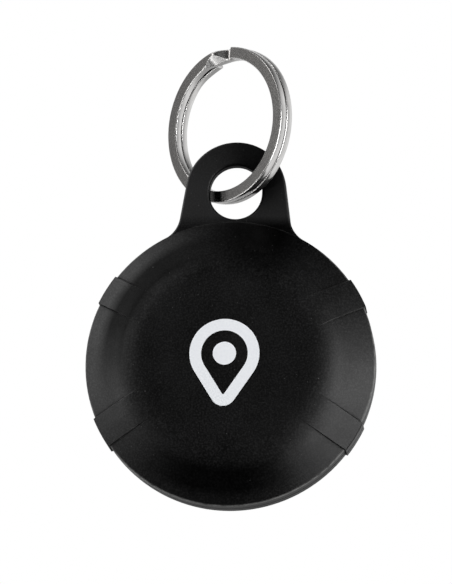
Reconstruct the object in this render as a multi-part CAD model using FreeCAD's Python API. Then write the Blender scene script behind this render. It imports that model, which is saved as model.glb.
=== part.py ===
"""Sealed Bluetooth tracker tag on a split key ring.

Millimetres. The disc stands upright: X to the right, Y towards the back, Z up through the key lug.
Everything is modelled about the disc's centre, midway between the two shells, and written out with
the origin at the middle of the flat rear face. Angles on the disc run from +X to +Z.
"""

import FreeCAD
import Part

import math
import os

V = FreeCAD.Vector
ORIGIN = V(0, 0, 0)
REAR = V(0, 1, 0)
UP = V(0, 0, 1)

# ---- Driving dimensions ----
disc_radius = 23.0
half_rim = 2.2            # height of one shell's straight rim wall
flank_slope = 30.0        # degrees, the cone between the rim and the flat face
shoulder_radius = 15.75   # where the flat face and the cone would meet without their blend
shoulder_blend = 11.0
wall = 1.5
seam = 0.08               # gap between the two shells
rim_edge = 0.3
seam_edge = 0.15

pad_angles = (30, 150, 210, 330)
pad_width = 5.1
pad_proud = 0.3           # how far a grip pad stands out past the rim
pad_slope = 29.2          # degrees, a little flatter than the cone, so a pad grows towards the rim
pad_shoulder = 16.1
pad_top_drop = 0.085      # a pad's flat below the face's, so its inner end fades into the dome
pad_inner = 14.5          # cut off here, under the surface
pad_edge = 0.1

lug_height = 28.15        # centre of the key hole above the disc's centre
lug_radius = 8.05
lug_hole = 4.2            # half the key hole's width
lug_hole_stretch = 0.4    # how much taller than wide it is
lug_hole_drop = 0.22      # hole centre below the eye's centre
lug_flare = 8.4           # degrees each side leans out on its way down
lug_root_blend = 4.6
lug_edge = 0.35
lug_hole_edge = 0.45

ring_radius = 12.7        # split ring, outside
ring_wire = 2.0           # radial width of the wire
ring_coil = 1.28          # thickness of one coil
ring_gap = 0.1            # between the two coils
ring_dome = 0.1           # bulge of the wire's inner and outer sides
ring_dome_share = 0.65    # of a side taken by its dome's arc
ring_corner = 0.15
ring_end_round = 0.28     # at the corners of its cut ends
ring_turn = 38.9          # degrees between the ring's plane and the lug's
ring_lean = 3.7           # degrees the ring's top leans forward
ring_centre = V(-1.50, -1.07, 39.18)
front_end = 82.0          # degrees on the ring, from its right side over the top
rear_end = 106.0
jog_facet = (116, 101)    # the wire steps back a coil between these, at its front inner edge,
jog_inner = (116, 94)     # its rear inner edge
jog_outer = (104, 86)     # and its outer side
step_spacing = 1.0        # degrees between sections where the wire steps
facet_slope = 48.0        # of the dressed facet that opens along the step's front
facet_ridge = 0.4         # flat left outside that facet
tail_start = 138.0        # from here the last coil's end springs back
tail_spring = 0.54

spigot_radius = 18.4      # rear cover's collar, inside the front shell
bore_radius = 18.6
spigot_inner = 17.0
spigot_blend = 3.0
spigot_tip = -2.95
hook_radius = 19.25
hook_width = 20.0         # degrees
hook_root = -2.1
ledge_under = -2.0
pocket_floor = -3.05
pocket_radius = 19.4
unlock_turn = 24.0        # degrees the rear cover turns to line its hooks up with the entry slots
hook_play = 0.75          # degrees each side

groove_inner = 19.75
groove_outer = 21.25
groove_floor = 0.98
seal_section = 1.3
seal_squeezed = 1.0
seal_rounding = 0.42
touch = 0.01              # clearance between parts that bear on each other

board_radius = 16.4
board_front = -1.7
board_rear = -0.9
carrier_radius = 16.6
carrier_floor = -0.1      # the battery rests here
carrier_top = 2.3
cell_radius = 10.0
cell_height = 3.2
cell_pocket = 10.2
cell_wall = 11.7
cell_sheet = 0.25         # thickness of the cell's steel can and cap
cell_cap_radius = 8.9
cell_cap_height = 2.2
cell_crimp = 0.35         # the can's rolled lip stands back this far from the cap's face
cell_gasket_width = 0.3
cell_edge = 0.5
foam_radius = 6.5
screw_circle = 14.2
screw_angles = (90, 210, 330)
boss_radius = 1.7
boss_depth = 0.5          # skin left under a screw's pilot hole
thread_radius = 0.7
clearance_radius = 0.9
screw_length = 4.0
screw_head_radius = 1.25
screw_head_height = 0.7
screw_head_edge = 0.3
screw_slot = (1.3, 0.35, 0.4)    # cross recess: length, width and depth
contact_sheet = 0.15      # spring contacts' sheet metal
contact_width = 2.7

sounder_radius = 10.0
sounder_sheet = 0.2
ceramic_radius = 7.0
sounder_seat_height = 0.4
sounder_seat_width = 1.5
nib_radius = 1.2
press_pad_radius = 1.6
press_pad_height = 0.5

switch_width = 3.2
switch_depth = 2.8
switch_height = 1.5
switch_skin = 0.25
switch_travel = 0.25
plunger_radius = 0.8
plunger_fit = 0.03

# ---- Derived dimensions ----
SLOPE = math.tan(math.radians(flank_slope))
face = half_rim + (disc_radius - shoulder_radius) * SLOPE      # half the tag's thickness
inner_face = face - wall
inner_shoulder = shoulder_radius - wall * math.tan(math.radians(flank_slope / 2))
cell_front = carrier_floor + touch
cell_rear = cell_front + cell_height
sounder_front = -inner_face + sounder_seat_height
ceramic_front = sounder_front + sounder_sheet
press_pad_front = ceramic_front + sounder_sheet + touch
press_pad_rear = press_pad_front + press_pad_height
plunger_tip = press_pad_rear + touch


# ---- Shape helpers ----
def rounded_wire(corners, radii, place):
    """Closed wire through 2D corners, each rounded by its own radius. place turns (a, b) into a point."""
    points = [V(a, b, 0) for a, b in corners]
    count = len(points)
    begins, ends, arcs = [], [], []
    for i, (corner, radius) in enumerate(zip(points, radii)):
        back = (points[i - 1] - corner).normalize()
        ahead = (points[(i + 1) % count] - corner).normalize()
        if radius == 0:
            begins.append(corner)
            ends.append(corner)
            arcs.append(None)
            continue
        half = back.getAngle(ahead) / 2
        bisector = (back + ahead).normalize()
        centre = corner + bisector * (radius / math.sin(half))
        begins.append(corner + back * (radius / math.tan(half)))
        ends.append(corner + ahead * (radius / math.tan(half)))
        arcs.append(centre - bisector * radius)
    edges = []
    for i in range(count):
        if arcs[i] is not None:
            on_arc = [place(p.x, p.y) for p in (begins[i], arcs[i], ends[i])]
            edges.append(Part.Arc(*on_arc).toShape())
        after = begins[(i + 1) % count]
        if (after - ends[i]).Length > 1e-6:
            edges.append(Part.makeLine(place(ends[i].x, ends[i].y), place(after.x, after.y)))
    return Part.Wire(edges)


def turned_about_y(corners, radii=None):
    """Solid of revolution about the disc's axis from (radius, y) corners."""
    wire = rounded_wire(corners, radii or [0] * len(corners), lambda r, y: V(r, y, 0))
    return Part.Face(wire).revolve(ORIGIN, REAR, 360)


def at_angle(shape, degrees):
    """Copy of shape turned from +X towards +Z."""
    copy = shape.copy()
    copy.rotate(ORIGIN, -REAR, degrees)
    return copy


def sector(inner, outer, low, high, middle, width):
    """Piece of a ring about the disc's axis, centred on an angle."""
    wire = rounded_wire([(inner, low), (outer, low), (outer, high), (inner, high)], [0] * 4,
                        lambda r, y: V(r, y, 0))
    return at_angle(Part.Face(wire).revolve(ORIGIN, -REAR, width), middle - width / 2)


def cylinder(radius, low, high, x=0.0, z=0.0):
    """Cylinder along Y between two depths."""
    return Part.makeCylinder(radius, high - low, V(x, low, z), REAR)


def tube(inner, outer, low, high):
    """Ring of rectangular section about the disc's axis."""
    return cylinder(outer, low, high).cut(cylinder(inner, low, high))


def block(width, height, low, high, x=0.0, z=0.0, corner=0.0):
    """Block centred on (x, z), between two depths, with its four long edges rounded."""
    a, b = width / 2, height / 2
    corners = [(x - a, z - b), (x + a, z - b), (x + a, z + b), (x - a, z + b)]
    wire = rounded_wire(corners, [corner] * 4, lambda u, w: V(u, low, w))
    return Part.Face(wire).extrude(REAR * (high - low))


def fused(*shapes):
    first, *rest = shapes
    return first.multiFuse(rest).removeSplitter().Solids[0]


def filleted(shape, radius, chosen):
    """Rounds the edges for which chosen(edge) is true."""
    return shape.makeFillet(radius, [e for e in shape.Edges if chosen(e)])


def strip(path, thickness, width, z=0.0):
    """Bent sheet-metal strip: a path in (x, y) thickened to one side and spread along Z."""
    left, right = [], []
    count = len(path)
    for i, (x, y) in enumerate(path):
        normals = []
        for a, b in ((i - 1, i), (i, i + 1)):
            if 0 <= a and b < count:
                run = V(path[b][0] - path[a][0], path[b][1] - path[a][1], 0).normalize()
                normals.append(V(-run.y, run.x, 0))
        mean = sum(normals[1:], normals[0]).normalize()
        shift = mean * (thickness / mean.dot(normals[0]))
        left.append((x, y))
        right.append((x + shift.x, y + shift.y))
    outline = left + right[::-1]
    wire = rounded_wire(outline, [0] * len(outline), lambda a, b: V(a, b, z - width / 2))
    return Part.Face(wire).extrude(UP * width)


# ---- Shells ----
def grip_pads():
    """Four raised pads that cross the rim, in the front shell's half."""
    top = face - pad_top_drop
    pad_rim = disc_radius + pad_proud
    rim = top - (pad_rim - pad_shoulder) * math.tan(math.radians(pad_slope))
    skin = wall / 2
    root = disc_radius - wall
    corners = [(0, -top), (pad_shoulder, -top), (pad_rim, -rim), (pad_rim, -seam / 2), (root, -seam / 2),
               (root, -(half_rim + (disc_radius - root) * SLOPE - skin)),
               (shoulder_radius, -(face - skin)), (0, -(face - skin))]
    band = turned_about_y(corners, [0, shoulder_blend, rim_edge, seam_edge, 0, 0, 0, 0])
    window = block(pad_rim + pad_proud - pad_inner, pad_width, -face, 0,
                   x=(pad_rim + pad_proud + pad_inner) / 2)
    pad = band.common(window)

    def is_side_edge_on_top(edge):
        middle = edge.valueAt((edge.FirstParameter + edge.LastParameter) / 2)
        radius = math.hypot(middle.x, middle.z)
        above = -middle.y > half_rim + (disc_radius - radius) * SLOPE - skin / 2
        on_side = abs(abs(middle.z) - pad_width / 2) < 1e-3
        return on_side and middle.x > pad_inner + 1e-3 and (above or radius > disc_radius)

    pad = filleted(pad, pad_edge, is_side_edge_on_top)
    return [at_angle(pad, angle) for angle in pad_angles]


def half_disc():
    """Front half of the disc, solid, with its grip pads."""
    corners = [(0, -face), (shoulder_radius, -face), (disc_radius, -half_rim),
               (disc_radius, -seam / 2), (0, -seam / 2)]
    dome = turned_about_y(corners, [0, shoulder_blend, rim_edge, seam_edge, 0])
    return fused(dome, *grip_pads())


def key_lug():
    """Flat eye above the rim that the split ring passes through, with blended roots."""
    lean = math.radians(lug_flare)
    out = V(math.cos(lean), 0, math.sin(lean))
    down = V(math.sin(lean), 0, -math.cos(lean))
    eye = V(0, -half_rim, lug_height)
    side_top = eye + out * lug_radius
    # The root blend touches the leaning side and the rim's circle.
    start = V(0, 0, lug_height) + out * (lug_radius + lug_root_blend)
    along = start.dot(down)
    span = disc_radius + lug_root_blend
    drop = -along - math.sqrt(along ** 2 - start.dot(start) + span ** 2)
    middle = start + down * drop + V(0, -half_rim, 0)
    side_foot = middle - out * lug_root_blend
    flat_middle = V(middle.x, 0, middle.z)
    on_rim = flat_middle * (disc_radius / span) + V(0, -half_rim, 0)
    bulge = middle - ((middle - side_foot) + (middle - on_rim)).normalize() * lug_root_blend

    def across(p):
        return V(-p.x, p.y, p.z)

    top = eye + UP * lug_radius
    wire = Part.Wire([
        Part.Arc(on_rim, bulge, side_foot).toShape(),
        Part.makeLine(side_foot, side_top),
        Part.Arc(side_top, top, across(side_top)).toShape(),
        Part.makeLine(across(side_top), across(side_foot)),
        Part.Arc(across(side_foot), across(bulge), across(on_rim)).toShape(),
        Part.makeLine(across(on_rim), on_rim),
    ])
    plate = Part.Face(wire).extrude(REAR * (half_rim - seam / 2))

    def is_outline(edge):
        flat = abs(edge.BoundBox.YLength) < 1e-6
        return flat and edge.CenterOfMass.z > on_rim.z + 0.5

    plate = filleted(plate, lug_edge, is_outline)
    width, height = 2 * lug_hole, 2 * lug_hole + lug_hole_stretch
    hole = block(width, height, -face, face, z=lug_height - lug_hole_drop, corner=lug_hole)
    plate = plate.cut(hole)

    def is_hole_rim(edge):
        flat = abs(edge.BoundBox.YLength) < 1e-6
        return flat and (edge.CenterOfMass - eye).Length < lug_hole + lug_hole_stretch + half_rim

    return filleted(plate, lug_hole_edge, is_hole_rim)


def front_cavity():
    """Hollow of the front shell: the inside of its face, the bore, and the hooks' pockets and entries."""
    wall_rise = (bore_radius - inner_shoulder) * SLOPE
    corners = [(0, -inner_face), (inner_shoulder, -inner_face), (bore_radius, -inner_face + wall_rise),
               (bore_radius, 1), (0, 1)]
    hollow = turned_about_y(corners, [0, shoulder_blend - wall, 0, 0, 0])
    root = bore_radius - 1
    parts = [hollow]
    for angle in pad_angles:
        slot = hook_width + 2 * hook_play
        parts.append(sector(root, pocket_radius, pocket_floor, 1, angle - unlock_turn, slot))
        parts.append(sector(root, pocket_radius, pocket_floor, ledge_under,
                            angle - unlock_turn / 2, slot + unlock_turn))
    return fused(*parts)


def front_shell():
    """Front half of the case with the lug, the bayonet ledges, the screw bosses and the button nib."""
    rooted = -inner_face - wall / 2
    solid = fused(half_disc(), key_lug()).cut(front_cavity())
    bosses = at_screws(cylinder(boss_radius, rooted, board_front, x=screw_circle))
    nib = cylinder(nib_radius, rooted, sounder_front - touch)
    pilots = at_screws(cylinder(thread_radius + touch, boss_depth - inner_face, 0, x=screw_circle))
    return fused(solid, nib, *bosses).cut(pilots).Solids[0]


def rear_cover():
    """Back half of the case: it twists and locks by four hooks on its collar, and carries the seal."""
    shell = half_disc().mirror(ORIGIN, REAR)
    collar = cylinder(spigot_radius, spigot_tip, 1)
    hooks = [sector(spigot_radius - 1, hook_radius, spigot_tip, hook_root, a, hook_width)
             for a in pad_angles]
    solid = fused(shell, collar, *hooks)
    corners = [(0, inner_face), (inner_shoulder, inner_face),
               (spigot_inner, inner_face - (spigot_inner - inner_shoulder) * SLOPE),
               (spigot_inner, spigot_tip - 1), (0, spigot_tip - 1)]
    hollow = turned_about_y(corners, [0, spigot_blend, 0, 0, 0])
    groove = tube(groove_inner, groove_outer, -1, groove_floor)
    return solid.cut(hollow).cut(groove).Solids[0]


def seal_ring():
    """O-ring as it sits squeezed between the cover's groove and the front shell's land."""
    middle = (groove_inner + groove_outer) / 2
    a = seal_section / 2
    low = groove_floor - touch - seal_squeezed
    corners = [(middle - a, low), (middle + a, low),
               (middle + a, low + seal_squeezed), (middle - a, low + seal_squeezed)]
    return turned_about_y(corners, [seal_rounding] * 4)


# ---- Battery ----
def at_screws(shape):
    """One copy of shape for each carrier screw."""
    return [at_angle(shape, angle) for angle in screw_angles]


def battery_carrier():
    """Moulded plate with the cell's pocket, screwed down over the board."""
    plate = cylinder(carrier_radius, board_rear + touch, carrier_floor)
    wall_ring = tube(cell_pocket, cell_wall, board_rear + touch, carrier_top)
    holes = at_screws(cylinder(clearance_radius, board_rear, carrier_floor, x=screw_circle))
    contact_gap = contact_width + 0.9
    under_cell = block(13.0, contact_gap, board_rear, carrier_floor)
    beside_cell = block(4.4, contact_gap, board_rear, carrier_top, x=cell_wall)
    finger_notch = block(6.0, 8.0, carrier_floor, carrier_top, x=-cell_wall)
    return fused(plate, wall_ring).cut(holes + [under_cell, beside_cell, finger_notch]).Solids[0]


def carrier_screws():
    """Pan-head screws that clamp the carrier and the board to the front shell's bosses."""
    seat = carrier_floor + touch
    shank = cylinder(thread_radius, seat - screw_length, seat, x=screw_circle)
    head = cylinder(screw_head_radius, seat, seat + screw_head_height, x=screw_circle)
    top = seat + screw_head_height
    head = filleted(head, screw_head_edge,
                    lambda e: abs(e.CenterOfMass.y - top) < 1e-6 and len(e.Vertexes) == 1)
    length, width, depth = screw_slot
    cross = fused(block(length, width, top - depth, top, x=screw_circle),
                  block(width, length, top - depth, top, x=screw_circle))
    return Part.makeCompound(at_screws(fused(shank, head).cut(cross)))


def coin_cell():
    """CR2032: steel can (positive, towards the cover), cap (negative), gasket and the cells' filling."""
    t = cell_sheet
    lip = cell_front + cell_crimp
    cap_out = cell_cap_radius
    cap_in = cap_out - t
    mouth = cap_out + cell_gasket_width
    inner = cell_radius - t
    can = turned_about_y([(0, cell_rear), (cell_radius, cell_rear), (cell_radius, lip), (mouth, lip),
                          (mouth, lip + t), (inner, lip + t), (inner, cell_rear - t), (0, cell_rear - t)],
                         [0, cell_edge, cell_edge - 0.1, 0, 0, 0.15, cell_edge - t, 0])
    cap_rim = cell_front + cell_cap_height
    cap = turned_about_y([(0, cell_front), (cap_out, cell_front), (cap_out, cap_rim), (cap_in, cap_rim),
                          (cap_in, cell_front + t), (0, cell_front + t)],
                         [0, cell_edge, 0, 0, cell_edge - t, 0])
    under_lip = lip + t
    gasket = turned_about_y([(cap_out + touch, lip), (mouth - touch, lip),
                             (mouth - touch, under_lip + touch), (inner - touch, under_lip + 0.2),
                             (inner - touch, cap_rim), (cap_out + touch, cap_rim)])
    gap = 0.3
    core_front = cell_front + t + touch
    core_step = cap_rim + 0.2
    core_rear = cell_rear - t - touch
    core = turned_about_y([(0, core_front), (cap_in - gap, core_front), (cap_in - gap, core_step),
                           (inner - gap, core_step), (inner - gap, core_rear), (0, core_rear)])
    return {"coin_cell_can": can, "coin_cell_cap": cap, "coin_cell_gasket": gasket,
            "coin_cell_core": core}


def battery_contacts():
    """Spring contacts soldered to the board's rear: one under the cell's cap, one against its can."""
    solder = board_rear + touch
    crown = cell_front - touch - contact_sheet
    negative = strip([(-5.8, solder), (-3.4, solder), (-0.8, crown), (0.8, crown), (2.0, crown - 0.35)],
                     contact_sheet, contact_width)
    touch_x = cell_radius + touch
    positive = strip([(13.2, solder), (11.3, solder), (touch_x + 0.7, 0.2), (touch_x, 1.2),
                      (touch_x + 0.6, 2.1)][::-1], contact_sheet, contact_width)
    return {"negative_spring": negative, "positive_spring": positive}


def cell_foam_pad():
    """Foam disc that holds the cell down when the cover is on."""
    return cylinder(foam_radius, cell_rear + touch, inner_face - touch)


# ---- Electronics ----
def circuit_board():
    board = cylinder(board_radius, board_front, board_rear)
    holes = at_screws(cylinder(clearance_radius, board_front, board_rear, x=screw_circle))
    notch = block(2.0, 2.0, board_front, board_rear, z=-board_radius, corner=0.5)
    return board.cut(holes + [notch]).Solids[0]


def on_board(width, height, thick, x, z, corner=0.0):
    """Component standing off the board's front side."""
    high = board_front - touch
    return block(width, height, high - thick, high, x=x, z=z, corner=corner)


def radio_module():
    """Bluetooth chip under its drawn shield."""
    x, z = -5.2, -7.2
    can = on_board(7.6, 6.6, 1.3, x, z, corner=0.4)
    hollow = on_board(7.3, 6.3, 1.15, x, z, corner=0.25)
    return {"radio_chip": on_board(5.0, 5.0, 0.85, x, z), "radio_shield": can.cut(hollow).Solids[0]}


def small_parts():
    """Passive components, laid out in rows between the larger ones."""
    cap_row = [on_board(1.0, 0.5, 0.5, -8.2 + 1.6 * i, -2.4) for i in range(4)]
    cap_row += [on_board(1.0, 0.5, 0.5, 4.0 + 1.6 * i, -4.4) for i in range(4)]
    res_row = [on_board(1.0, 0.5, 0.35, 4.0 + 1.6 * i, -2.4) for i in range(3)]
    res_row += [on_board(1.0, 0.5, 0.35, -1.4 + 1.6 * i, 10.5) for i in range(3)]
    return {"capacitors": Part.makeCompound(cap_row), "resistors": Part.makeCompound(res_row)}


def board_parts():
    return {
        "chip_antenna": on_board(7.0, 2.0, 0.9, -7.2, 10.2),
        "flash_memory": on_board(3.0, 2.0, 0.6, 4.6, -7.6),
        "main_crystal": on_board(2.5, 2.0, 0.55, 0.9, -7.6, corner=0.2),
        "clock_crystal": on_board(3.2, 1.5, 0.75, 4.4, -11.2, corner=0.2),
        "inductor": on_board(2.0, 1.6, 0.9, 8.3, -8.2, corner=0.15),
    }


def sounder():
    """Piezo bender that rings the tag: brass disc and ceramic on a seat ring, with two board springs."""
    seat_inner = sounder_radius - sounder_seat_width
    seat = tube(seat_inner, sounder_radius, touch - inner_face, sounder_front - touch)
    brass = cylinder(sounder_radius, sounder_front, ceramic_front - touch)
    ceramic = cylinder(ceramic_radius, ceramic_front, ceramic_front + sounder_sheet)
    z = 5.0
    foot = board_front - touch
    springs = []
    for x, rear in ((-3.4, ceramic_front + sounder_sheet), (7.2, ceramic_front)):
        top = rear + touch
        path = [(x + 1.5, foot), (x - 0.8, foot), (x - 1.3, foot - 0.7), (x - 0.5, top), (x + 0.3, top)]
        springs.append(strip(path, contact_sheet, 1.2, z))
    return {"sounder_seat": seat, "sounder_disc": brass, "sounder_ceramic": ceramic,
            "sounder_springs": Part.makeCompound(springs)}


def button():
    """Tactile switch under the middle of the face, worked by the face's nib through the sounder."""
    foot = board_front - touch
    cap = foot - switch_height
    base = foot - 0.3
    body = block(switch_width, switch_depth, cap, foot, corner=0.3)
    chamber = cylinder(switch_depth / 2 - switch_skin, cap + switch_skin, base)
    body = body.cut([chamber, cylinder(plunger_radius + plunger_fit, cap - 1, base)]).Solids[0]
    dome_edge = switch_depth / 2 - switch_skin - 0.1
    sheet = 0.1
    dome_foot = base - touch
    dome_top = dome_foot - switch_travel
    dome = turned_about_y([(0, dome_top), (dome_edge / 2, dome_top), (dome_edge, dome_foot - sheet),
                           (dome_edge, dome_foot), (dome_edge / 2, dome_top + sheet),
                           (0, dome_top + sheet)])
    flange = plunger_radius + 0.2
    flange_front = cap + switch_skin + 0.03
    heel = dome_top - switch_travel - 0.02
    plunger = turned_about_y([(0, plunger_tip), (plunger_radius, plunger_tip),
                              (plunger_radius, flange_front), (flange, flange_front),
                              (flange, heel), (0, heel)],
                             [0, 0.1, 0, 0, 0.05, 0])
    pad = cylinder(press_pad_radius, press_pad_front, press_pad_rear)
    return {"switch_body": body, "switch_dome": dome, "switch_plunger": plunger, "press_pad": pad}


# ---- Key ring ----
def eased(share):
    """0 to 1 with level ends."""
    t = min(max(share, 0.0), 1.0)
    return t ** 3 * (t * (6 * t - 15) + 10)


def wire_section(degrees, front_z, inner_z, outer_z):
    """Flat wire with domed sides, at an angle on the ring. Its front inner edge, rear inner edge and
    outer side have their own heights; where the front inner edge drops, a facet opens along the front."""
    a = math.radians(degrees)
    radial = V(math.cos(a), math.sin(a), 0)
    t = ring_coil / 2
    inner, outer = ring_radius - ring_wire, ring_radius
    foot = inner + ring_dome
    across_facet = (outer_z - front_z) / math.tan(math.radians(facet_slope))
    widest = ring_wire - 2 * ring_dome - facet_ridge
    facet_top = foot + max(min(across_facet, widest), 2 * ring_corner)
    corners = [(foot, inner_z - t), (outer - ring_dome, outer_z - t), (outer, outer_z),
               (outer - ring_dome, outer_z + t), (facet_top, outer_z + t), (foot, front_z + t),
               (inner, (front_z + inner_z) / 2)]

    def dome_radius(half_height):
        return ring_dome_share * half_height ** 2 / ring_dome

    radii = [ring_corner, ring_corner, dome_radius(t), ring_corner, 0, ring_corner,
             dome_radius(t - (inner_z - front_z) / 2)]
    return rounded_wire(corners, radii, lambda u, v: radial * u + V(0, 0, v))


def coil(start, end, z):
    """Level length of wire, clockwise from start to end."""
    return Part.Face(wire_section(start, z, z, z)).revolve(ORIGIN, V(0, 0, -1), start - end)


def stepping_wire(start, end, front_height, inner_height, outer_height):
    """Length of wire whose edges follow their own heights."""
    count = round((start - end) / step_spacing)
    angles = [start - (start - end) * i / count for i in range(count + 1)]
    sections = [wire_section(a, front_height(a), inner_height(a), outer_height(a)) for a in angles]
    return Part.makeLoft(sections, True)


def rounded_end(length, degrees, into):
    """Length of wire with its cut end's corners rounded, seen along the ring's axis. The wire lies
    towards larger angles from that end if into is 1, towards smaller ones if it is -1."""
    a = math.radians(degrees)
    deep = V(0, 0, 2 * ring_coil)
    for side, inward in ((ring_radius, -1), (ring_radius - ring_wire, 1)):
        corner = V(math.cos(a), math.sin(a), 0) * side
        u = V(math.cos(a), math.sin(a), 0) * (inward * ring_end_round)
        v = V(-math.sin(a), math.cos(a), 0) * (into * ring_end_round)
        square = [corner - u - v, corner + u - v, corner + u + v, corner - u + v, corner - u - v]
        outside = Part.Face(Part.makePolygon([p - deep for p in square])).extrude(deep * 2)
        kept = Part.makeCylinder(ring_end_round, deep.z * 2, corner + u + v - deep)
        length = length.cut(outside.cut(kept))
    return length


def key_ring():
    """Split ring of flat wire: two coils, joined by a short dressed step, with rounded cut ends."""
    lift = (ring_coil + ring_gap) / 2

    def step(span):
        return lambda a: lift - 2 * lift * eased((span[0] - a) / (span[0] - span[1]))

    def tail(a):
        return -lift - tail_spring * eased((tail_start - a) / (tail_start - rear_end))

    jog_start, jog_end = jog_inner[0], jog_outer[1]
    ring = fused(rounded_end(coil(front_end, jog_start - 360, lift), front_end, -1),
                 stepping_wire(jog_start, jog_end, step(jog_facet), step(jog_inner), step(jog_outer)),
                 coil(jog_end, tail_start - 360, -lift),
                 rounded_end(stepping_wire(tail_start, rear_end, tail, tail, tail), rear_end, 1))
    b = math.radians(ring_turn)
    lean = math.radians(ring_lean)
    right = V(math.cos(b), -math.sin(b), 0)
    level_out = right.cross(UP)
    top = UP * math.cos(lean) + level_out * math.sin(lean)
    out = right.cross(top)
    stand = FreeCAD.Matrix(right.x, top.x, out.x, ring_centre.x,
                           right.y, top.y, out.y, ring_centre.y,
                           right.z, top.z, out.z, ring_centre.z,
                           0, 0, 0, 1)
    return ring.transformed(stand)


if __name__ == "__main__":
    os.makedirs("parts", exist_ok=True)
    nodes = {
        "front_shell": front_shell(),
        "rear_cover": rear_cover(),
        "seal_ring": seal_ring(),
        "key_ring": key_ring(),
        "battery_carrier": battery_carrier(),
        "carrier_screws": carrier_screws(),
        "cell_foam_pad": cell_foam_pad(),
        "circuit_board": circuit_board(),
    }
    for group in (coin_cell, battery_contacts, radio_module, small_parts, board_parts, sounder, button):
        nodes.update(group())
    for name, shape in nodes.items():
        shape.translate(REAR * -face)
        shape.exportStep(f"parts/{name}.step")
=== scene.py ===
"""Looks of the tracker tag: materials, printed mark, studio light and camera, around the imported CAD."""

import math

import bmesh
import bpy
import numpy as np
from mathutils import Matrix, Vector


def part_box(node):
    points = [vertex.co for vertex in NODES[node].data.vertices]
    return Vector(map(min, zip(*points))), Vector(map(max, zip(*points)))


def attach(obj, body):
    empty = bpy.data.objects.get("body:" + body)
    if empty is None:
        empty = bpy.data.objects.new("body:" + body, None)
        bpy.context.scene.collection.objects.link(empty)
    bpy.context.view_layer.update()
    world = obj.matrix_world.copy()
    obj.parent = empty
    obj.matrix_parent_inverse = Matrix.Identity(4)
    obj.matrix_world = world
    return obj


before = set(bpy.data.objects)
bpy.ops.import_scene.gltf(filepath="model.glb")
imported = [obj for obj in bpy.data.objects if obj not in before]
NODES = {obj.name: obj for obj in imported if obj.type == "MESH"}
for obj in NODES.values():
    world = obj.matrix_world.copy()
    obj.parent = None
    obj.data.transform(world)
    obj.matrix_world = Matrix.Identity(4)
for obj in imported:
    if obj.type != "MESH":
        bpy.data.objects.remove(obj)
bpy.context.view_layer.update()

MM = 0.001
SHELL_LOW, SHELL_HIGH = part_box("front_shell")
COVER_LOW, COVER_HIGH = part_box("rear_cover")
DISC_RADIUS = (COVER_HIGH.x - COVER_LOW.x) / 2
FACE_Y = SHELL_LOW.y
HALF_RIM = 2.2 * MM           # from the seam to the top of one shell's rim wall
RIM_EDGE = 0.3 * MM           # rounding there
EYE_FOOT, EYE_TOP = COVER_HIGH.z, SHELL_HIGH.z    # the key lug rises between these
DISC_CENTRE = Vector((0, (SHELL_LOW.y + COVER_HIGH.y) / 2, (COVER_LOW.z + COVER_HIGH.z) / 2))


# ---- Node helpers ----
class NodeTree:
    """A node tree built up one node at a time."""

    def __init__(self, tree):
        self.tree = tree

    def node(self, kind, inputs=None, **settings):
        made = self.tree.nodes.new(kind)
        for name, value in settings.items():
            setattr(made, name, value)
        for key, value in (inputs or {}).items():
            self.feed(made.inputs[key], value)
        return made

    def feed(self, socket, value):
        if isinstance(value, bpy.types.NodeSocket):
            self.tree.links.new(value, socket)
        else:
            socket.default_value = value

    def math(self, operation, a, b=0.0):
        return self.node("ShaderNodeMath", {0: a, 1: b}, operation=operation).outputs[0]

    def vector(self, operation, a, b=(0, 0, 0)):
        return self.node("ShaderNodeVectorMath", {0: a, 1: b}, operation=operation)

    def remap(self, value, low, high, to_low=0.0, to_high=1.0, ease="LINEAR"):
        inputs = {"Value": value, "From Min": low, "From Max": high, "To Min": to_low, "To Max": to_high}
        return self.node("ShaderNodeMapRange", inputs, interpolation_type=ease).outputs["Result"]


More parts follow.
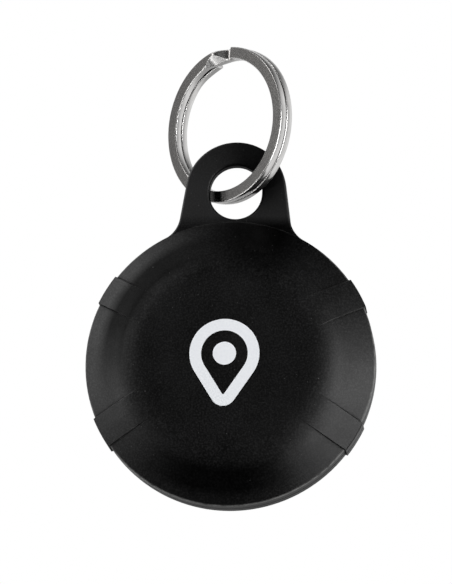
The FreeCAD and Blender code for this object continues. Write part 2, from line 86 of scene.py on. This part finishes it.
class Shader(NodeTree):
    """A material. Sizes are in metres, in the object's own frame."""

    def __init__(self, name):
        self.material = bpy.data.materials.new(name)
        self.material.use_nodes = True
        super().__init__(self.material.node_tree)
        self.surface = self.tree.nodes["Principled BSDF"]
        self.coords = self.node("ShaderNodeTexCoord").outputs["Object"]

    def span(self, noise, to_low=0.0, to_high=1.0):
        """Noise, most of which lies between 0.3 and 0.7, spread over a range."""
        return self.remap(noise, 0.3, 0.7, to_low, to_high)

    def stretched(self, scale, coords=None):
        inputs = {"Vector": coords or self.coords, "Scale": scale}
        return self.node("ShaderNodeMapping", inputs).outputs["Vector"]

    def noise(self, size, detail=2.0, coords=None):
        """Noise whose features are about size across, centred on 0.5."""
        inputs = {"Vector": coords or self.coords, "Scale": 1 / size, "Detail": detail}
        return self.node("ShaderNodeTexNoise", inputs).outputs["Fac"]

    def specks(self, spacing, size, share, coords=None):
        """1 on small round specks, on a share of a jittered grid's cells."""
        inputs = {"Vector": coords or self.coords, "Scale": 1 / spacing}
        cells = self.node("ShaderNodeTexVoronoi", inputs)
        pick = self.node("ShaderNodeSeparateColor", {"Color": cells.outputs["Color"]}).outputs[0]
        chosen = self.math("LESS_THAN", pick, share)
        reach = size / spacing
        dot = self.remap(cells.outputs["Distance"], reach * 0.4, reach, 1.0, 0.0)
        return self.math("MULTIPLY", chosen, dot)

    def blend(self, share, a, b):
        """From a to b as share goes from 0 to 1."""
        inputs = {"Factor": share, "A": a, "B": b}
        mix = self.node("ShaderNodeMix", data_type="RGBA")
        for key, value in inputs.items():
            sockets = [s for s in mix.inputs if s.name == key and s.enabled]
            self.feed(sockets[0], value)
        return [s for s in mix.outputs if s.enabled][0]

    def bump(self, height, depth, normal=None):
        """Surface normal for a height of 0 to 1 that spans depth."""
        inputs = {"Height": height, "Distance": depth, "Strength": 1.0}
        if normal:
            inputs["Normal"] = normal
        return self.node("ShaderNodeBump", inputs).outputs["Normal"]

    def axis_distance(self, x, z):
        """Distance from the line along Y through x and z."""
        flat = self.vector("MULTIPLY", self.coords, (1, 0, 1)).outputs[0]
        return self.vector("DISTANCE", flat, (x, 0, z)).outputs["Value"]

    def towards(self, turn, spread):
        """1 in a direction from the disc's axis, fading to 0 over a spread of degrees to each side."""
        turn, spread = math.radians(turn), math.radians(spread)
        spoke = self.vector("SUBTRACT", self.coords, DISC_CENTRE).outputs[0]
        flat = self.vector("MULTIPLY", spoke, (1, 0, 1)).outputs[0]
        unit = self.vector("NORMALIZE", flat).outputs[0]
        along = self.vector("DOT_PRODUCT", unit, (math.cos(turn), 0, math.sin(turn))).outputs["Value"]
        return self.remap(along, math.cos(spread), math.cos(spread / 3))

    def open_sky(self, reach):
        """1 on open surfaces, falling towards 0.5 and less in inside corners within the reach."""
        return self.node("ShaderNodeAmbientOcclusion", {"Distance": reach}, samples=8).outputs["AO"]

    def eased_normal(self, radius, samples=4):
        """Surface normal averaged over the radius, as if edges were rounded by it."""
        return self.node("ShaderNodeBevel", {"Radius": radius}, samples=samples).outputs["Normal"]

    def worn_edges(self, radius):
        """1 on sharp edges, fading over the radius."""
        bevel = self.eased_normal(radius)
        true = self.node("ShaderNodeNewGeometry").outputs["Normal"]
        same = self.vector("DOT_PRODUCT", bevel, true).outputs["Value"]
        return self.remap(same, 0.99, 0.8)

    def finish(self, colour, roughness, normal=None, metallic=0.0, **more):
        values = {"Base Color": colour, "Roughness": roughness, "Metallic": metallic}
        if normal:
            values["Normal"] = normal
        values.update({key.replace("_", " "): value for key, value in more.items()})
        for key, value in values.items():
            self.feed(self.surface.inputs[key], value)
        return self.material


def grey(value):
    return (value, value, value, 1.0)


def rgb(red, green, blue):
    return (red, green, blue, 1.0)


# ---- Materials ----
# Painted shade: darker bands on the dome that stand in for its shading. Columns: direction in degrees
# from +X towards +Z, radius, reach either side of it, degrees to each side, and the share of haze and
# shine that is left.
PAINTED_SHADE_BANDS = (
    (266, 19.3 * MM, 2.8 * MM, 38, 0.3),
    (145, 18.4 * MM, 3.0 * MM, 55, 0.22),
)
BAND_CORE = 1.3 * MM
# Centre of painted shade of the split ring at the lug's foot, which also takes away the highlight there.
FOOT_SHADE = Vector((DISC_CENTRE.x + 5 * MM, 0, EYE_FOOT - 2 * MM))


def worn_places(s, places, from_axis):
    """Share of bare, polished coating: along the rim except under the lug, and on sharp edges."""
    from_middle = s.math("ABSOLUTE", s.math("SUBTRACT", places["Y"], DISC_CENTRE.y))
    across = s.math("SUBTRACT", from_axis, DISC_RADIUS - RIM_EDGE / 2)
    along = s.math("SUBTRACT", from_middle, HALF_RIM - RIM_EDGE / 2)
    off_edge = s.math("SQRT", s.math("ADD", s.math("POWER", across, 2), s.math("POWER", along, 2)))
    below_lug = s.remap(places["Z"], EYE_FOOT - 6 * MM, EYE_FOOT - 4 * MM, 1.0, 0.0)
    at_rim = s.math("MULTIPLY", s.remap(off_edge, RIM_EDGE / 3, RIM_EDGE, 1.0, 0.0), below_lug)
    sharp = s.math("MULTIPLY", s.worn_edges(0.3 * MM), 0.2)
    patchy = s.remap(s.noise(1.2 * MM, 4), 0.35, 0.6, 0.3, 1.0)
    return s.math("MULTIPLY", s.math("MAXIMUM", at_rim, sharp), patchy)


def share_left_by_painted_shade(s, places, from_axis):
    """Share of haze and shine left by painted shade: less in wide corners, round the lug's foot under the
    split ring and in darker bands on the dome.
    """
    # Painted shade of the split ring round the lug's foot; the lug itself keeps its full share.
    from_foot = s.axis_distance(FOOT_SHADE.x, FOOT_SHADE.z)
    foot = s.remap(from_foot, 2.5 * MM, 9 * MM, 0.15, 1.0)
    on_lug = s.remap(places["Z"], EYE_FOOT - MM, EYE_FOOT + MM)
    share = s.math("MAXIMUM", foot, on_lug)
    # Painted shade in the bands on the dome.
    for turn, radius, reach, spread, keep in PAINTED_SHADE_BANDS:
        off_band = s.math("ABSOLUTE", s.math("SUBTRACT", from_axis, radius))
        band = s.math("MULTIPLY", s.towards(turn, spread), s.remap(off_band, BAND_CORE, reach, 1.0, 0.0))
        share = s.math("MULTIPLY", share, s.remap(band, 0.0, 1.0, 1.0, keep))
    # Painted shade in wide corners, from occlusion over a 9 mm reach.
    return s.math("MULTIPLY", s.remap(s.open_sky(9 * MM), 0.75, 0.98, 0.1, 1.0), share)


def soft_touch_black():
    """Matt soft-touch coating: fine grain, a paler lug, dust and polished edges, with painted shade in
    corners, round the lug's foot and in bands on the dome.
    """
    s = Shader("soft_touch_black")
    grain = s.noise(0.11 * MM, 3)
    haze = s.noise(7 * MM, 5)
    speckle = s.noise(0.26 * MM, 2)
    fine_dust = s.specks(0.9 * MM, 0.07 * MM, 0.5)
    coarse_dust = s.specks(2.6 * MM, 0.13 * MM, 0.6)
    dust = s.math("MAXIMUM", fine_dust, coarse_dust)
    places = s.node("ShaderNodeSeparateXYZ", {"Vector": s.coords}).outputs
    from_axis = s.axis_distance(DISC_CENTRE.x, DISC_CENTRE.z)
    wear = worn_places(s, places, from_axis)
    unshaded = share_left_by_painted_shade(s, places, from_axis)
    # Lighter colour on the lug, fading to about a third towards its top.
    on_lug = s.remap(places["Z"], EYE_FOOT - MM, EYE_FOOT + MM)
    below_top = s.remap(places["Z"], EYE_TOP - 8 * MM, EYE_TOP, 1.0, 0.35)
    paler_on_lug = s.math("MULTIPLY", s.math("MULTIPLY", on_lug, below_top), 0.85)
    body = s.blend(s.span(haze), grey(0.0003), rgb(0.0018, 0.0018, 0.002))
    speckled = s.blend(s.remap(speckle, 0.45, 0.8), body, rgb(0.012, 0.012, 0.0124))
    with_paler_lug = s.blend(paler_on_lug, speckled, rgb(0.0205, 0.0205, 0.0208))
    # Painted shade: the coating's colour goes towards near black where the unshaded share falls.
    shaded = s.blend(unshaded, grey(0.0003), with_paler_lug)
    worn = s.blend(wear, shaded, rgb(0.26, 0.26, 0.255))
    colour = s.blend(s.math("MULTIPLY", dust, 0.3), worn, grey(0.26))
    rough = s.math("ADD", s.span(haze, 0.41, 0.48), s.span(speckle, -0.02, 0.02))
    normal = s.bump(dust, 0.012 * MM, s.bump(grain, 0.006 * MM))
    # Painted shade: shine falls off in inside corners, darkening the lines along the pads' edges, and
    # wherever the painted shade above reaches.
    shine_left_by_shade = s.math("MULTIPLY", s.remap(s.open_sky(0.45 * MM), 0.55, 0.85, 0.12, 1.0), unshaded)
    shine = s.math("MULTIPLY", shine_left_by_shade, s.remap(speckle, 0.35, 0.7, 0.23, 0.33))
    return s.finish(colour, rough, normal, Specular_IOR_Level=shine)


def local_frame(node):
    """Centre and axes of a flat round part: the last axis is along its thinnest direction."""
    points = np.array([v.co for v in NODES[node].data.vertices])
    low, high = points.min(0), points.max(0)
    centre = (low + high) / 2
    axes = np.linalg.svd(points - points.mean(0), full_matrices=False)[2]
    if np.linalg.det(axes) < 0:
        axes[2] = -axes[2]
    return Vector(centre), Matrix(axes.tolist())


def ring_steel():
    """Spring steel: ground satin on the coils' flats, drawn and polished round their sides."""
    s = Shader("ring_steel")
    centre, axes = local_frame("key_ring")
    inputs = {"Vector": s.coords, "Location": -(axes @ centre), "Rotation": axes.to_euler()}
    local = s.node("ShaderNodeMapping", inputs).outputs["Vector"]
    part = s.node("ShaderNodeSeparateXYZ", {"Vector": local}).outputs
    radius = s.math("SQRT", s.math("ADD", s.math("POWER", part[0], 2), s.math("POWER", part[1], 2)))
    angle = s.math("ARCTAN2", part[1], part[0])
    along = s.math("MULTIPLY", angle, (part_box("key_ring")[1].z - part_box("key_ring")[0].z) / 2)
    track = s.node("ShaderNodeCombineXYZ", {"X": radius, "Y": part[2], "Z": along}).outputs[0]
    eased = s.eased_normal(0.12 * MM, 12)
    turned = s.node("ShaderNodeVectorTransform", {"Vector": eased}, vector_type="NORMAL",
                    convert_from="WORLD", convert_to="OBJECT").outputs[0]
    faced = s.math("ABSOLUTE", s.vector("DOT_PRODUCT", turned, axes[2]).outputs["Value"])
    flat = s.remap(faced, 0.8, 0.93)
    dressed = s.math("MULTIPLY", s.remap(faced, 0.35, 0.5), s.math("SUBTRACT", 1.0, flat))
    drawn = s.noise(0.09 * MM, 3, s.stretched((1, 1, 0.04), track))
    grain = s.noise(0.12 * MM, 4)
    stain = s.noise(2.2 * MM, 4)
    nicks = s.math("MULTIPLY", s.specks(1.1 * MM, 0.07 * MM, 0.3, s.stretched((1, 1, 0.3), track)), flat)
    satin = s.blend(s.span(grain), rgb(0.118, 0.115, 0.113), rgb(0.185, 0.180, 0.175))
    satin = s.blend(s.math("MULTIPLY", s.remap(stain, 0.4, 0.7), 0.35), satin, rgb(0.2, 0.193, 0.186))
    polished = s.blend(s.remap(drawn, 0.35, 0.65), rgb(0.6, 0.59, 0.58), rgb(0.78, 0.775, 0.77))
    colour = s.blend(flat, polished, satin)
    colour = s.blend(s.math("MULTIPLY", nicks, 0.5), colour, grey(0.15))
    rough = s.blend(flat, s.span(drawn, 0.13, 0.2), s.span(grain, 0.23, 0.28))
    rough = s.blend(dressed, rough, grey(0.45))
    height = s.math("ADD", drawn, s.math("MULTIPLY", grain, flat))
    return s.finish(colour, rough, s.bump(height, 0.0015 * MM, eased), 1.0)


def printed_white():
    """Pad-printed ink, faintly mottled and grained."""
    s = Shader("printed_white")
    mottle = s.noise(0.4 * MM, 4)
    colour = s.blend(s.span(mottle), rgb(0.9, 0.925, 0.965), rgb(0.95, 0.97, 1.0))
    rough = s.span(mottle, 0.45, 0.6)
    return s.finish(colour, rough, s.bump(s.noise(0.08 * MM), 0.002 * MM))


def moulded(name, dark, light, rough=0.45, grain=0.15 * MM):
    """Injection-moulded or pressed part: mottled colour, fine grain and paler edges."""
    s = Shader(name)
    mottle = s.noise(3 * MM, 3)
    edge = s.math("MULTIPLY", s.worn_edges(0.12 * MM), 0.35)
    body = s.blend(s.span(mottle), rgb(*dark), rgb(*light))
    colour = s.blend(edge, body, rgb(*(min(1, c * 1.6 + 0.02) for c in light)))
    return s.finish(colour, s.span(mottle, rough - 0.05, rough + 0.05),
                    s.bump(s.noise(grain, 3), 0.006 * MM))


def plated(name, dark, light, rough=0.3):
    """Thin plated sheet metal: drawn streaks, tarnish and brighter edges."""
    s = Shader(name)
    streaks = s.noise(0.12 * MM, 3, s.stretched((1, 1, 0.08)))
    tarnish = s.noise(1.8 * MM, 4)
    body = s.blend(s.remap(tarnish, 0.35, 0.7), rgb(*light), rgb(*dark))
    colour = s.blend(s.math("MULTIPLY", s.worn_edges(0.1 * MM), 0.5), body, grey(0.9))
    return s.finish(colour, s.span(streaks, rough - 0.06, rough + 0.08),
                    s.bump(streaks, 0.003 * MM), 1.0)


def foam(name, dark, light):
    """Closed-cell foam: a skin of small cells."""
    s = Shader(name)
    inputs = {"Vector": s.coords, "Scale": 1 / (0.25 * MM)}
    cells = s.node("ShaderNodeTexVoronoi", inputs).outputs["Distance"]
    colour = s.blend(s.remap(cells, 0.1, 0.7), rgb(*dark), rgb(*light))
    return s.finish(colour, s.remap(cells, 0.1, 0.7, 0.8, 0.95), s.bump(cells, 0.03 * MM))


def solder_mask():
    """Green board with copper tracks under the lacquer."""
    s = Shader("solder_mask")
    tracks = s.node("ShaderNodeTexVoronoi", {"Vector": s.coords, "Scale": 1 / (1.4 * MM)},
                    distance="MANHATTAN", feature="DISTANCE_TO_EDGE").outputs["Distance"]
    copper = s.remap(tracks, 0.06, 0.09, 1.0, 0.0)
    cloudy = s.span(s.noise(4 * MM, 3))
    lacquer = s.blend(cloudy, rgb(0.008, 0.075, 0.035), rgb(0.012, 0.1, 0.05))
    colour = s.blend(s.math("MULTIPLY", copper, 0.6), lacquer, rgb(0.04, 0.22, 0.08))
    return s.finish(colour, s.span(s.noise(0.3 * MM), 0.22, 0.34), s.bump(copper, 0.02 * MM))


def dress(material, *nodes):
    """Gives CAD nodes their material."""
    for node in nodes:
        slots = NODES[node].data.materials
        slots.clear()
        slots.append(material)


def dress_all():
    dress(soft_touch_black(), "front_shell", "rear_cover")
    dress(ring_steel(), "key_ring")
    dress(moulded("seal_silicone", (0.018, 0.018, 0.02), (0.03, 0.03, 0.033), 0.62),
          "seal_ring", "press_pad")
    dress(foam("pad_foam", (0.02, 0.02, 0.02), (0.06, 0.06, 0.06)), "cell_foam_pad", "sounder_seat")
    dress(moulded("carrier_nylon", (0.55, 0.55, 0.5), (0.66, 0.66, 0.62)), "battery_carrier")
    dress(plated("screw_zinc", (0.3, 0.3, 0.31), (0.5, 0.5, 0.51)), "carrier_screws")
    dress(plated("cell_steel", (0.55, 0.55, 0.54), (0.7, 0.7, 0.69), 0.25),
          "coin_cell_can", "coin_cell_cap")
    dress(moulded("cell_gasket", (0.02, 0.02, 0.022), (0.035, 0.035, 0.04)), "coin_cell_gasket")
    dress(moulded("cell_filling", (0.01, 0.01, 0.01), (0.03, 0.03, 0.03), 0.8), "coin_cell_core")
    dress(plated("contact_gold", (0.6, 0.4, 0.14), (0.85, 0.62, 0.28)),
          "negative_spring", "positive_spring", "sounder_springs", "switch_dome")
    dress(solder_mask(), "circuit_board")
    dress(moulded("chip_epoxy", (0.012, 0.012, 0.013), (0.02, 0.02, 0.022), 0.55),
          "radio_chip", "flash_memory", "inductor")
    dress(plated("shield_tin", (0.5, 0.5, 0.5), (0.66, 0.66, 0.65)),
          "radio_shield", "main_crystal", "clock_crystal")
    dress(moulded("capacitor_ceramic", (0.25, 0.16, 0.08), (0.36, 0.25, 0.14)), "capacitors")
    dress(moulded("resistor_glaze", (0.01, 0.01, 0.012), (0.02, 0.02, 0.025), 0.3), "resistors")
    dress(moulded("antenna_ceramic", (0.7, 0.74, 0.76), (0.82, 0.85, 0.86)), "chip_antenna")
    dress(plated("sounder_brass", (0.5, 0.32, 0.1), (0.72, 0.5, 0.2)), "sounder_disc")
    dress(moulded("sounder_silver", (0.5, 0.48, 0.44), (0.68, 0.66, 0.6), 0.4), "sounder_ceramic")
    dress(moulded("switch_housing", (0.012, 0.012, 0.012), (0.025, 0.025, 0.025), 0.3), "switch_body")
    dress(moulded("switch_cap", (0.5, 0.45, 0.36), (0.62, 0.57, 0.47), 0.3), "switch_plunger")


# ---- Printed mark ----
MARK_CENTRE = DISC_CENTRE + Vector((-0.5, 0, -0.8)) * MM
MARK_STROKE = 1.85 * MM
PIN_HEAD, PIN_TIP = 4.6 * MM, 1.1 * MM    # radii of the pin's middle line
PIN_DROP = 6.4 * MM
DOT_SHARE = 0.4                           # of the head's radius
INK_PROUD = 0.03 * MM
INK_SUNK = 0.02 * MM


def circle(radius, count=64):
    turns = [2 * math.pi * i / count for i in range(count)]
    return [(radius * math.cos(turn), radius * math.sin(turn)) for turn in turns]


def pin_outline(head, tip, drop, count=120):
    """Closed teardrop: a circle of radius head joined by tangents to a small circle drop below it."""
    lean = math.asin((head - tip) / drop)
    points = []
    for i in range(count):
        turn = math.radians(-90) + 2 * math.pi * (i + 0.5) / count
        low_half = math.sin(turn) < -math.sin(lean)
        radius, centre = (tip, -drop) if low_half else (head, 0.0)
        points.append((radius * math.cos(turn), centre + radius * math.sin(turn)))
    return points


def ink(name, outer, inner=None):
    """Thin closed solid on the front face between two outlines, or inside one."""
    mesh = bmesh.new()
    depths = (FACE_Y - INK_PROUD, FACE_Y + INK_SUNK)

    def loop(outline, y):
        return [mesh.verts.new((x + MARK_CENTRE.x, y, z + MARK_CENTRE.z)) for x, z in outline]

    rims = [[loop(outline, y) for y in depths] for outline in (outer, inner) if outline]
    count = len(outer)
    steps = [(i, (i + 1) % count) for i in range(count)]
    if inner:
        for outside, inside in zip(*rims):
            for i, j in steps:
                mesh.faces.new((outside[i], outside[j], inside[j], inside[i]))
    else:
        for rim in rims[0]:
            mesh.faces.new(rim)
    for near, far in rims:
        for i, j in steps:
            mesh.faces.new((near[i], near[j], far[j], far[i]))
    bmesh.ops.recalc_face_normals(mesh, faces=mesh.faces)
    data = bpy.data.meshes.new(name)
    mesh.to_mesh(data)
    mesh.free()
    piece = bpy.data.objects.new(name, data)
    bpy.context.scene.collection.objects.link(piece)
    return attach(piece, "case")


def printed_mark():
    """Generic location pin with a dot, printed in the middle of the face."""
    white = printed_white()
    half = MARK_STROKE / 2
    lift = (PIN_DROP + PIN_TIP - PIN_HEAD) / 2
    outer = [(x, z + lift) for x, z in pin_outline(PIN_HEAD + half, PIN_TIP + half, PIN_DROP)]
    inner = [(x, z + lift) for x, z in pin_outline(PIN_HEAD - half, PIN_TIP - half, PIN_DROP)]
    dot = [(x, z + lift) for x, z in circle(PIN_HEAD * DOT_SHARE)]
    for name, outlines in (("mark_pin", (outer, inner)), ("mark_dot", (dot,))):
        piece = ink(name, *outlines)
        piece.data.materials.append(white)


# ---- Studio ----
CAMERA_AZIMUTH = math.radians(5.5)
CAMERA_ELEVATION = math.radians(-13.0)
CAMERA_ROLL = math.radians(2.0)
CAMERA_DISTANCE = 26 * DISC_RADIUS
SENSOR_WIDTH = 36
VIEW_HEIGHT = 4.047 * DISC_RADIUS
VIEW_TARGET = DISC_CENTRE + Vector((-1.2, 0, 12)) * MM
BOX_DISTANCE = 0.6
FLOOR_HALF = 60 * DISC_RADIUS
FLOOR_DROP = 9 * DISC_RADIUS
FLOOR_GLOW = 0.5


def direction(azimuth, elevation):
    return Vector((math.sin(azimuth) * math.cos(elevation),
                   -math.cos(azimuth) * math.cos(elevation),
                   math.sin(elevation)))


def camera():
    """Long lens slightly below the tag and to its right."""
    data = bpy.data.cameras.new("camera")
    data.sensor_width = SENSOR_WIDTH
    data.lens = data.sensor_width * CAMERA_DISTANCE / VIEW_HEIGHT
    cam = bpy.data.objects.new("camera", data)
    back = direction(CAMERA_AZIMUTH, CAMERA_ELEVATION)
    cam.location = VIEW_TARGET + back * CAMERA_DISTANCE
    look = (-back).to_track_quat("-Z", "Y").to_matrix()
    cam.rotation_euler = (look @ Matrix.Rotation(CAMERA_ROLL, 3, "Z")).to_euler()
    bpy.context.scene.collection.objects.link(cam)
    bpy.context.scene.camera = cam


def softbox(name, towards, width, height, power):
    """Area light at a direction from the disc, facing it."""
    data = bpy.data.lights.new(name, "AREA")
    data.shape = "RECTANGLE"
    data.size, data.size_y = width, height
    data.energy = power
    lamp = bpy.data.objects.new(name, data)
    away = Vector(towards).normalized()
    lamp.location = DISC_CENTRE + away * BOX_DISTANCE
    lamp.rotation_euler = away.to_track_quat("Z", "Y").to_euler()
    bpy.context.scene.collection.objects.link(lamp)
    return lamp


def lights():
    """A tall box to each side, and a card low on the left that lights only the split ring."""
    softbox("left_box", (-0.80, -0.43, 0.34), 0.13, 0.9, 3.25)
    card = softbox("ring_card", (-0.50, -0.45, -0.74), 0.4, 0.4, 2.2)
    lit = bpy.data.collections.new("lit_by_ring_card")
    lit.objects.link(NODES["key_ring"])
    card.light_linking.receiver_collection = lit
    softbox("right_box", (0.74, -0.64, -0.2), 0.22, 0.7, 5.0)


# Each row dims the surroundings along a direction: direction, from, to, strength there and beyond.
SURROUNDINGS = (
    ((0, 1, 0), -0.6, 0.3, 0.02, 0.9),          # dark before the tag, bright behind it
    ((0, 0, 1), 0.9, 0.45, 0.1, 1.0),           # dim overhead
    ((0, 0.8, -0.6), 0.95, 0.65, 0.45, 1.0),    # dimmer low behind
    ((0, -0.5, -0.87), 0.97, 0.75, 0.1, 1.0),   # dark low before it
)


def backdrop():
    """White surroundings for the camera. What they light is bright behind the tag and dark before it."""
    world = bpy.data.worlds.new("studio")
    world.use_nodes = True
    w = NodeTree(world.node_tree)
    towards = w.node("ShaderNodeTexCoord").outputs["Generated"]
    strength = 1.0
    for axis, low, high, dark, bright in SURROUNDINGS:
        share = w.vector("DOT_PRODUCT", towards, axis).outputs["Value"]
        strength = w.math("MULTIPLY", w.remap(share, low, high, dark, bright, "SMOOTHSTEP"), strength)
    lit = w.node("ShaderNodeBackground", {"Color": grey(1.0), "Strength": strength}).outputs[0]
    seen = w.tree.nodes["Background"]
    w.feed(seen.inputs["Color"], grey(1.0))
    by_camera = w.node("ShaderNodeLightPath").outputs["Is Camera Ray"]
    mixed = w.node("ShaderNodeMixShader", {0: by_camera, 1: lit, 2: seen.outputs[0]}).outputs[0]
    w.feed(w.tree.nodes["World Output"].inputs["Surface"], mixed)
    bpy.context.scene.world = world


def floor():
    """Pale floor well below the hanging tag. It glows a little, as the surroundings light it weakly."""
    level = DISC_CENTRE.z - FLOOR_DROP
    data = bpy.data.meshes.new("floor")
    corners = [(x * FLOOR_HALF, y * FLOOR_HALF, level) for x, y in ((-1, -1), (1, -1), (1, 1), (-1, 1))]
    data.from_pydata(corners, [], [(0, 1, 2, 3)])
    surface = bpy.data.objects.new("floor", data)
    surface.visible_glossy = False
    surface.visible_diffuse = False
    bpy.context.scene.collection.objects.link(surface)
    s = Shader("floor_paint")
    mottle = s.noise(20 * MM, 3)
    paint = s.blend(mottle, grey(0.83), grey(0.87))
    data.materials.append(s.finish(paint, 0.8, s.bump(s.noise(0.5 * MM), 0.02 * MM),
                                   Emission_Color=paint, Emission_Strength=FLOOR_GLOW))


def main():
    dress_all()
    printed_mark()
    backdrop()
    floor()
    lights()
    camera()
    bpy.context.scene.view_settings.view_transform = "Standard"


main()
